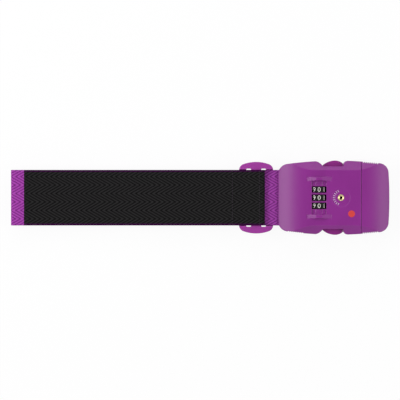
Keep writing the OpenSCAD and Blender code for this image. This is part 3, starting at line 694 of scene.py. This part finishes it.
class STRAP_OT_webbing(bpy.types.Operator):
    """Weave the four runs of the folded strap"""

    bl_idname = "strap.webbing"
    bl_label = "Webbing"

    def execute(self, context):
        weave = sizes("weave")
        main, back, under = Route(MAIN_ROUTE), Route(RETURN_ROUTE), Route(UNDER_ROUTE)
        # ridges are raised only on the stretches that can be seen
        front = weave_strip("strap_front", FRONT, [(0, FRONT.length - 20)], ["printed_webbing", "webbing"])
        body = weave_strip("strap_main", main, [(0, main.where(30, 30))], ["webbing"], -1)
        inner = weave_strip("strap_return", back, [(0, 26)], ["webbing"])
        loop = weave_strip("strap_under", under, [(300, under.length)], ["webbing"])
        for obj, nodes in (
            (front, ("webbing_front", "print_panel", "webbing_slider_end")),
            (body, ("webbing_main",)),
            (inner, ("webbing_return",)),
            (loop, ("webbing_tongue_end",)),
        ):
            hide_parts(*nodes)
        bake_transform(front)
        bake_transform(loop)
        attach(body, "lock")
        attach(inner, "lock")
        return {"FINISHED"}


# buckle and slider


class STRAP_OT_shells(bpy.types.Operator):
    """Round the moulded shells of the lock and of the tongue"""

    bl_idname = "strap.shells"
    bl_label = "Buckle shells"

    def execute(self, context):
        for node, body, most, rounds in (
            ("top_cover", "lock", 170000, 5),
            ("bottom_cover", "lock", 150000, 5),
            ("tongue_top", "tongue", 120000, 3),
            ("tongue_bottom", "tongue", 100000, 3),
        ):
            obj = softened(node + "_shell", node, sizes("buckle").grain, "buckle_plastic", most, rounds)
            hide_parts(node)
            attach(obj, body)
        return {"FINISHED"}


class STRAP_OT_prongs(bpy.types.Operator):
    """Round the two squeeze prongs"""

    bl_idname = "strap.prongs"
    bl_label = "Squeeze prongs"

    def execute(self, context):
        for side in ("front", "rear"):
            obj = softened(f"squeeze_{side}", f"prong_{side}", sizes("buckle").grain, "pad_plastic", 36000)
            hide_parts(f"prong_{side}")
            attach(obj, f"{side}_prong")
        return {"FINISHED"}


class STRAP_OT_slider(bpy.types.Operator):
    """Round the tri-glide slider"""

    bl_idname = "strap.slider"
    bl_label = "Slider"

    def execute(self, context):
        obj = softened("tri_glide", "slider", sizes("buckle").grain, "slider_plastic", 90000, 10)
        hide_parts("slider")
        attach(obj, "adjuster")
        return {"FINISHED"}


# dials, key and marks


def heal(bm, gap):
    """Joins points that are closer than a gap and takes out slivers."""
    bmesh.ops.remove_doubles(bm, verts=bm.verts, dist=gap)
    bmesh.ops.dissolve_degenerate(bm, dist=gap, edges=bm.edges[:])


def digit_mesh(figure, height):
    """One number as a flat mesh, centred, cut into narrow strips so that it can follow a dial."""
    thinner, wider, slit = -0.006, 1.06, 0.002  # for a font of size 1
    strips = np.arange(-1.4, 1.41, 0.2) * MM
    curve = bpy.data.curves.new("figure", "FONT")
    curve.body, curve.resolution_u, curve.offset = str(figure), 8, thinner
    obj = linked("figure", curve)
    mesh = made_by(obj)
    bpy.data.objects.remove(obj)
    bpy.data.curves.remove(curve)
    bm = bmesh.new()
    bm.from_mesh(mesh)
    bpy.data.meshes.remove(mesh)
    heal(bm, slit)
    x = [v.co.x for v in bm.verts]
    y = [v.co.y for v in bm.verts]
    scale = height / (max(y) - min(y))
    for v in bm.verts:
        v.co.x = (v.co.x - (max(x) + min(x)) / 2) * scale * wider
        v.co.y = (v.co.y - (max(y) + min(y)) / 2) * scale
        v.co.z = 0
    for cut in strips:
        geom = bm.verts[:] + bm.edges[:] + bm.faces[:]
        bmesh.ops.bisect_plane(bm, geom=geom, plane_co=(cut, 0, 0), plane_no=(1, 0, 0), dist=1e-7)
    heal(bm, 0.006 * MM)
    bmesh.ops.triangulate(bm, faces=bm.faces[:])
    for face in bm.faces:
        if face.normal.z < 0:
            face.normal_flip()
    return bm


class STRAP_OT_dials(bpy.types.Operator):
    """Round the three dials and print a ring of numbers on each"""

    bl_idname = "strap.dials"
    bl_label = "Dials"

    def execute(self, context):
        proud, depth = 0.03 * MM, 0.12 * MM
        figures = [digit_mesh(k, sizes("buckle").digit) for k in range(10)]
        for index, body in ((1, "first_dial"), (2, "second_dial"), (3, "third_dial")):
            low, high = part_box(f"dial_{index}")
            middle = (low + high) / 2
            radius = (high.z - low.z) / 2
            dial = softened(f"dial_{index}_wheel", f"dial_{index}", 0.12 * MM, "dial_plastic", 40000, 3)
            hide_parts(f"dial_{index}")
            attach(dial, body)
            belt = bmesh.new()
            for k, bm in enumerate(figures):
                outer, inner = {}, {}
                for v in bm.verts:
                    turn = k * math.tau / len(figures) + v.co.x / radius
                    out = Vector((math.sin(turn), 0, math.cos(turn)))
                    foot = middle + Vector((0, v.co.y, 0))
                    outer[v] = belt.verts.new(foot + out * (radius + proud))
                    inner[v] = belt.verts.new(foot + out * (radius + proud - depth))
                for face in bm.faces:
                    belt.faces.new([outer[v] for v in face.verts])
                    belt.faces.new([inner[v] for v in reversed(face.verts)])
                for a, b in (edge.verts for edge in bm.edges if edge.is_boundary):
                    belt.faces.new((outer[a], outer[b], inner[b], inner[a]))
            bmesh.ops.recalc_face_normals(belt, faces=belt.faces)
            numbers = show(f"dial_{index}_numbers", drawn("numbers", belt), "digit_paint")
            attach(numbers, body)
            dress(f"code_sleeve_{index}", "aged_brass")
        for bm in figures:
            bm.free()
        return {"FINISHED"}


class STRAP_OT_key(bpy.types.Operator):
    """Dish the face of the key plug and paint shade into its keyhole"""

    bl_idname = "strap.key"
    bl_label = "Key lock"

    def execute(self, context):
        border, face_depth, slope = 0.35 * MM, 0.6 * MM, 0.4
        low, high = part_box("key_plug")
        x, rim = (low.x + high.x) / 2, (high.x - low.x) / 2 - border
        hole_end, hole_mouth = low.z + 0.5 * MM, high.z - 1.5 * MM
        plug = softened("key_face", "key_plug", 0.08 * MM, "turned_brass", 50000, 4)
        # the face is dished like a shallow cone, and the keyhole's inner walls get black plastic as painted
        # shade
        for v in plug.data.vertices:
            reach = math.hypot(v.co.x - x, v.co.y)
            if v.co.z > high.z - face_depth and reach < rim:
                v.co.z -= (rim - reach) * slope
        plug.data.materials.append(finish("keyhole_black"))
        for face in plug.data.polygons:
            at = face.center
            deep = hole_end < at.z < hole_mouth
            face.material_index = 1 if deep and math.hypot(at.x - x, at.y) < rim else 0
        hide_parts("key_plug")
        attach(plug, "key")
        return {"FINISHED"}


def ring(bm, place, radius, height, sides):
    """A ring of points round a vertical line; radius and height may change from point to point."""
    turn = np.linspace(0, math.tau, sides, endpoint=False)
    x, y, z = radius * np.cos(turn), radius * np.sin(turn), height + 0 * turn
    return [bm.verts.new(Vector(place) + Vector(step)) for step in zip(x, y, z)]


def turned(name, bm, rings):
    """A closed mesh whose skin runs from ring to ring."""
    for lower, upper in zip(rings, rings[1:]):
        for k in range(len(lower)):
            bm.faces.new((lower[k - 1], lower[k], upper[k], upper[k - 1]))
    bm.faces.new(rings[-1])
    bm.faces.new(rings[0][::-1])
    bmesh.ops.recalc_face_normals(bm, faces=bm.faces)
    return drawn(name, bm)


def top_of_cover(x, y):
    """The height of the lock's top at a place."""
    tree = BVHTree.FromObject(bpy.data.objects["top_cover_shell"], bpy.context.evaluated_depsgraph_get())
    hit = tree.ray_cast(Vector((x, y, 0.1)), Vector((0, 0, -1)))
    if hit[0] is None:
        raise RuntimeError("the mark lies beside the cover")
    return hit[0].z


def new_tree(name, inputs):
    """An empty Geometry Nodes tree with named inputs, as its graph and its inputs' sockets."""
    tree = bpy.data.node_groups.new(name, "GeometryNodeTree")
    tree.interface.new_socket("Geometry", in_out="OUTPUT", socket_type="NodeSocketGeometry")
    for label, kind in inputs.items():
        tree.interface.new_socket(label, in_out="INPUT", socket_type="NodeSocket" + kind)
    graph = Graph(tree)
    source = tree.nodes.new("NodeGroupInput")
    return graph, {label: Socket(graph, source.outputs[label]) for label in inputs}


def close_tree(graph, instances, material):
    """Ends a tree: instances made real, smooth, with their material."""
    real = graph.node("GeometryNodeRealizeInstances", {}, {0: instances})
    smooth = graph.node("GeometryNodeSetShadeSmooth", {}, {0: real})
    done = graph.node("GeometryNodeSetMaterial", {}, {"Geometry": smooth, "Material": material})
    graph.node("NodeGroupOutput", {}, {0: done})
    return graph.tree


def grow(name, tree, values, mesh=None):
    """An object made by a tree with these inputs, as a plain mesh."""
    obj = linked(name, mesh or bpy.data.meshes.new(name))
    made = obj.modifiers.new("Make", "NODES")
    made.node_group = tree
    for item in tree.interface.items_tree:
        if item.item_type == "SOCKET" and item.in_out == "INPUT" and item.name in values:
            made[item.identifier] = values[item.name]
    obj.update_tag()
    return settle(obj)


def tick_tree():
    graph, ends = new_tree(
        "Index ticks",
        {"Centre": "Vector", "Radius": "Float", "From": "Float", "Sweep": "Float", "Count": "Int",
         "Size": "Vector", "Finish": "Material"},
    )
    arc = graph.node(
        "GeometryNodeCurveArc",
        {"mode": "RADIUS"},
        {"Resolution": ends["Count"], "Radius": ends["Radius"], "Start Angle": ends["From"],
         "Sweep Angle": ends["Sweep"]},
    )
    dots = graph.node("GeometryNodeCurveToPoints", {"mode": "EVALUATED"}, {0: arc})
    turn = Socket(graph, dots.end.node.outputs["Rotation"])
    bar = graph.node("GeometryNodeMeshCube", {}, {"Size": ends["Size"]})
    rows = graph.node("GeometryNodeInstanceOnPoints", {}, {"Points": dots, "Instance": bar, "Rotation": turn})
    moved = graph.node("GeometryNodeTransform", {}, {"Geometry": rows, "Translation": ends["Centre"]})
    return close_tree(graph, moved, ends["Finish"])


class STRAP_OT_marks(bpy.types.Operator):
    """Paint a plain dot and an arc of plain ticks beside the key"""

    bl_idname = "strap.marks"
    bl_label = "Marks"

    def execute(self, context):
        low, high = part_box("key_plug")
        x, radius = (low.x + high.x) / 2, 6.2 * MM
        z = top_of_cover(x - radius, 0) + 0.02 * MM
        ticks = grow(
            "index_ticks",
            tick_tree(),
            {"Centre": (x, 0, z), "Radius": radius, "From": math.radians(112), "Sweep": math.radians(136),
             "Count": 9, "Size": Vector((2.2, 0.12, 0.6)) * MM, "Finish": finish("tick_paint")},
        )
        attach(ticks, "lock")
        x, y, radius = 135.9 * MM, -14.5 * MM, sizes("buckle").dot
        place = (x, y, top_of_cover(x, y))
        bm = bmesh.new()
        # the dot is a drop of paint: shares of its radius, and heights in mm
        profile = ((1.0, -0.02), (1.0, 0.03), (0.94, 0.075), (0.6, 0.085), (0.2, 0.09))
        rings = [ring(bm, place, radius * share, height * MM, sides=48) for share, height in profile]
        mesh = turned("dot", bm, rings)
        dot = show("paint_dot", mesh, "dot_paint")
        mesh.shade_smooth()
        mesh.set_sharp_from_angle(angle=math.radians(50))
        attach(dot, "lock")
        return {"FINISHED"}


# stitches, screws, springs and inner parts


def stitch_tree():
    graph, ends = new_tree(
        "Stitch row",
        {"From": "Vector", "To": "Vector", "Pitch": "Float", "Length": "Float", "Thread": "Float",
         "Turn": "Float", "Finish": "Material"},
    )
    span = graph.node(
        "ShaderNodeVectorMath", {"operation": "DISTANCE"}, {0: ends["From"], 1: ends["To"]}, "Value"
    )
    count = (span / ends["Pitch"]).apply("ROUND") + 1
    row = graph.node(
        "GeometryNodeMeshLine",
        {"mode": "END_POINTS", "count_mode": "TOTAL"},
        {"Count": count, "Start Location": ends["From"], "Offset": ends["To"]},
    )
    bead = graph.node("GeometryNodeMeshUVSphere", {}, {"Segments": 8, "Rings": 6, "Radius": 1.0})
    size = graph.node(
        "ShaderNodeCombineXYZ", {}, {0: ends["Thread"] / 2, 1: ends["Length"] / 2, 2: ends["Thread"] * 0.4}
    )
    turn = graph.node("ShaderNodeCombineXYZ", {}, {2: ends["Turn"]})
    rows = graph.node(
        "GeometryNodeInstanceOnPoints", {}, {"Points": row, "Instance": bead, "Scale": size, "Rotation": turn}
    )
    return close_tree(graph, rows, ends["Finish"])


class STRAP_OT_stitches(bpy.types.Operator):
    """Sew the lap beside the lock and the tail of the slider"""

    bl_idname = "strap.stitches"
    bl_label = "Stitches"

    def execute(self, context):
        buckle = sizes("buckle")
        tree = stitch_tree()
        edge = 23.6 * MM
        for name, body, x, z, thread in (
            ("lap_stitches", "lock", 69.3, 11.4, "purple_thread"),
            ("bar_stitches", "adjuster", 53.2, 16.3, "dark_thread"),
            ("tail_stitches", "adjuster", 29.0, 14.1, "dark_thread"),
        ):
            row = grow(
                name,
                tree,
                {"From": (x * MM, -edge, z * MM), "To": (x * MM, edge, z * MM), "Pitch": buckle.stitch_pitch,
                 "Length": buckle.stitch, "Thread": buckle.thread, "Turn": math.radians(8),
                 "Finish": finish(thread)},
            )
            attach(row, body)
        return {"FINISHED"}


def screw_mesh(length):
    """A countersunk cross-head screw, head down at the origin, shank upwards."""
    # the cross reaches out in its arms and between them, and half an arm is a part of a quarter turn
    sides, arm, between, half_arm = 40, 0.92, 0.3, 0.13
    profile = (
        (0.95, 0), (1.75, 0.05), (2.05, 0.3), (2.08, 1.0), (1.9, 1.35), (1.1, 1.4), (1.1, length - 0.7),
        (0.35, length),
    )
    bm = bmesh.new()
    origin = (0, 0, 0)
    outside = [ring(bm, origin, radius * MM, height * MM, sides) for radius, height in profile]
    # the cross recess: the inner rim drops to a plus-shaped mouth, and its walls lean in to the floor
    quarters = np.arange(sides) * 4 / sides
    armed = np.abs((quarters + 0.5) % 1 - 0.5) < half_arm
    reach = np.where(armed, arm, between)
    mouth = ring(bm, origin, reach * MM, np.where(armed, 0.12, 0.02) * MM, sides)
    floor = ring(bm, origin, (reach - 0.12) * MM, 0.75 * MM, sides)
    return turned("screw", bm, [floor, mouth, *outside])


def screw_tree():
    graph, ends = new_tree(
        "Screws", {"Geometry": "Geometry", "Screw": "Object", "Seed": "Int", "Finish": "Material"}
    )
    shape = graph.node("GeometryNodeObjectInfo", {}, {"Object": ends["Screw"]}, "Geometry")
    # the floats of a Random Value node are its inputs 2 and 3 and its output 1
    spin = graph.node(
        "FunctionNodeRandomValue", {"data_type": "FLOAT"}, {2: 0.0, 3: math.tau, "Seed": ends["Seed"]}, 1
    )
    turn = graph.node("ShaderNodeCombineXYZ", {}, {2: spin})
    rows = graph.node(
        "GeometryNodeInstanceOnPoints", {}, {"Points": ends["Geometry"], "Instance": shape, "Rotation": turn}
    )
    return close_tree(graph, rows, ends["Finish"])


class STRAP_OT_screws(bpy.types.Operator):
    """Put a cross-head screw in each hole under the buckle"""

    bl_idname = "strap.screws"
    bl_label = "Screws"

    def execute(self, context):
        tree = screw_tree()
        for seed, (node, body, places) in enumerate((
            ("cover_screws", "lock", [(87.9, 27.3), (141.6, 15.6)]),
            ("tongue_screws", "tongue", [(147.4, 16.5)]),
        )):
            low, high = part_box(node)
            shape = linked("screw", screw_mesh((high.z - low.z) / MM))
            spots = bpy.data.meshes.new("spots")
            spots.from_pydata([(x * MM, s * y * MM, low.z) for x, y in places for s in (-1, 1)], [], [])
            values = {"Screw": shape, "Seed": seed, "Finish": finish("drawn_steel")}
            obj = grow(node + "_cross", tree, values, spots)
            bpy.data.objects.remove(shape)
            obj.data.set_sharp_from_angle(angle=math.radians(35))
            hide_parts(node)
            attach(obj, body)
        return {"FINISHED"}


def spring_tree():
    graph, ends = new_tree(
        "Springs",
        {"Turns": "Float", "Radius": "Float", "Height": "Float", "Wire": "Float", "Finish": "Material"},
    )
    helix = graph.node(
        "GeometryNodeCurveSpiral",
        {},
        {"Resolution": 28, "Rotations": ends["Turns"], "Start Radius": ends["Radius"],
         "End Radius": ends["Radius"], "Height": ends["Height"]},
    )
    section = graph.node("GeometryNodeCurvePrimitiveCircle", {}, {"Resolution": 10, "Radius": ends["Wire"]})
    wire = graph.node(
        "GeometryNodeCurveToMesh", {}, {"Curve": helix, "Profile Curve": section, "Fill Caps": True}
    )
    return close_tree(graph, wire, ends["Finish"])


class STRAP_OT_springs(bpy.types.Operator):
    """Wind the two coil springs, each between a seat in the lock and the piece that presses it"""

    bl_idname = "strap.springs"
    bl_label = "Springs"

    def execute(self, context):
        tree = spring_tree()
        for node, body, axis, wire, turns in (
            ("plate_spring", "plate", Vector((1, 0, 0)), 0.25 * MM, 6),
            ("reset_spring", "reset", Vector((0, 0, -1)), 0.3 * MM, 8),
        ):
            low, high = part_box(node)
            reach = axis * abs((high - low).dot(axis))
            seat = (low + high) / 2 - reach / 2
            inset = 1.1 * wire
            size = {
                "Turns": turns, "Radius": (high.y - low.y) / 2 - wire, "Height": reach.length - 2 * inset,
                "Wire": wire, "Finish": finish("drawn_steel"),
            }
            spring = grow(node + "_coil", tree, size)
            spring.location = seat + axis * inset
            spring.rotation_euler = axis.to_track_quat("Z", "Y").to_euler()
            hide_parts(node)
            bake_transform(spring)
        return {"FINISHED"}


class STRAP_OT_inner(bpy.types.Operator):
    """Give the parts inside the lock their own materials"""

    bl_idname = "strap.inner"
    bl_label = "Inner parts"

    def execute(self, context):
        steel = ("lock_pin", "tongue_pin", "dial_axle", "detent_leaf", "gate_feelers", "key_cam")
        for material, nodes in (
            ("drawn_steel", steel),
            ("turned_brass", ("key_barrel",)),
            ("natural_acetal", ("lock_plate", "reset_plunger")),
        ):
            for node in nodes:
                dress(node, material)
        return {"FINISHED"}


# stage


def lamp(name, place, aim, size, power):
    data = bpy.data.lights.new(name, "AREA")
    data.shape, data.size, data.size_y, data.energy = "RECTANGLE", *size, power
    obj = linked(name, data)
    obj.location = place
    obj.rotation_euler = (Vector(aim) - Vector(place)).to_track_quat("-Z", "Y").to_euler()


class STRAP_OT_stage(bpy.types.Operator):
    """Set the floor, the soft lights and the camera"""

    bl_idname = "strap.stage"
    bl_label = "Stage"

    def execute(self, context):
        stage = sizes("stage")
        scene = context.scene
        scene.view_settings.view_transform = "Standard"
        half, drop = 6, 1e-5
        corners = ((-half, -half), (half, -half), (half, half), (-half, half))
        mesh = bpy.data.meshes.new("floor")
        mesh.from_pydata([(x, y, -drop) for x, y in corners], [], [range(len(corners))])
        show("floor", mesh, "pale_floor")
        for name, place, size, power in (
            ("soft_left", (-1.15, 0.1, 0.95), (1.2, 0.7), stage.left),
            ("soft_back", (0, 1.2, 0.8), (1.6, 0.8), stage.back),
            ("soft_right", (1.2, -0.1, 0.8), (1.0, 0.6), stage.right),
            ("soft_front", (0, -1.2, 0.75), (1.6, 0.7), stage.front),
        ):
            lamp(name, place, (0.05, 0, 0), size, power)
        world = bpy.data.worlds.new("Studio")
        scene.world = world
        world.use_nodes = True
        sky = Graph(world.node_tree)
        camera_ray, mirror_ray, glass_ray = sky.rays()
        level = stage.sky + mirror_ray * (stage.gleam - stage.sky)
        soft = sky.node("ShaderNodeBackground", {}, {"Color": (1, 1, 1, 1), "Strength": level})
        white = sky.node("ShaderNodeBackground", {}, {"Color": (1, 1, 1, 1), "Strength": 1.0})
        both = sky.node("ShaderNodeMixShader", {}, {0: camera_ray + glass_ray, 1: soft, 2: white})
        sky.node("ShaderNodeOutputWorld", {}, {"Surface": both})
        sensor, aim = 36, Vector((-0.07, -2.08, 16)) * MM
        data = bpy.data.cameras.new("Camera")
        data.lens, data.sensor_width = stage.lens, sensor
        data.clip_start, data.clip_end = 0.1, 50
        scene.camera = linked("Camera", data)
        scene.camera.location = aim + Vector((0, 0, stage.view * stage.lens / sensor))
        return {"FINISHED"}


# add-on

OPERATORS = (
    STRAP_OT_stage,
    STRAP_OT_stitches,
    STRAP_OT_webbing,
    STRAP_OT_shells,
    STRAP_OT_prongs,
    STRAP_OT_slider,
    STRAP_OT_dials,
    STRAP_OT_key,
    STRAP_OT_marks,
    STRAP_OT_screws,
    STRAP_OT_springs,
    STRAP_OT_inner,
)


class STRAP_PT_panel(bpy.types.Panel):
    """Lists the sizes, the colours and the steps of the strap"""

    bl_idname = "STRAP_PT_panel"
    bl_label = "Luggage strap"
    bl_space_type = "VIEW_3D"
    bl_region_type = "UI"
    bl_category = "Strap"

    def draw(self, context):
        for operator in OPERATORS:
            self.layout.operator(operator.bl_idname)
        for group, kind in GROUPS:
            box = self.layout.box()
            for field in kind.__annotations__:
                box.prop(getattr(context.scene, group), field)


def register():
    for group, kind in GROUPS:
        bpy.utils.register_class(kind)
        setattr(bpy.types.Scene, group, bpy.props.PointerProperty(type=kind))
    for kind in (*OPERATORS, STRAP_PT_panel):
        bpy.utils.register_class(kind)


def unregister():
    for kind in (STRAP_PT_panel, *reversed(OPERATORS)):
        bpy.utils.unregister_class(kind)
    for group, kind in reversed(GROUPS):
        delattr(bpy.types.Scene, group)
        bpy.utils.unregister_class(kind)


def main():
    for name in ("Cube", "Light", "Camera"):
        if name in bpy.data.objects:
            bpy.data.objects.remove(bpy.data.objects[name])
    register()
    for operator in OPERATORS:
        group, step = operator.bl_idname.split(".")
        getattr(getattr(bpy.ops, group), step)()
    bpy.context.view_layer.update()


if __name__ == "__main__":
    main()
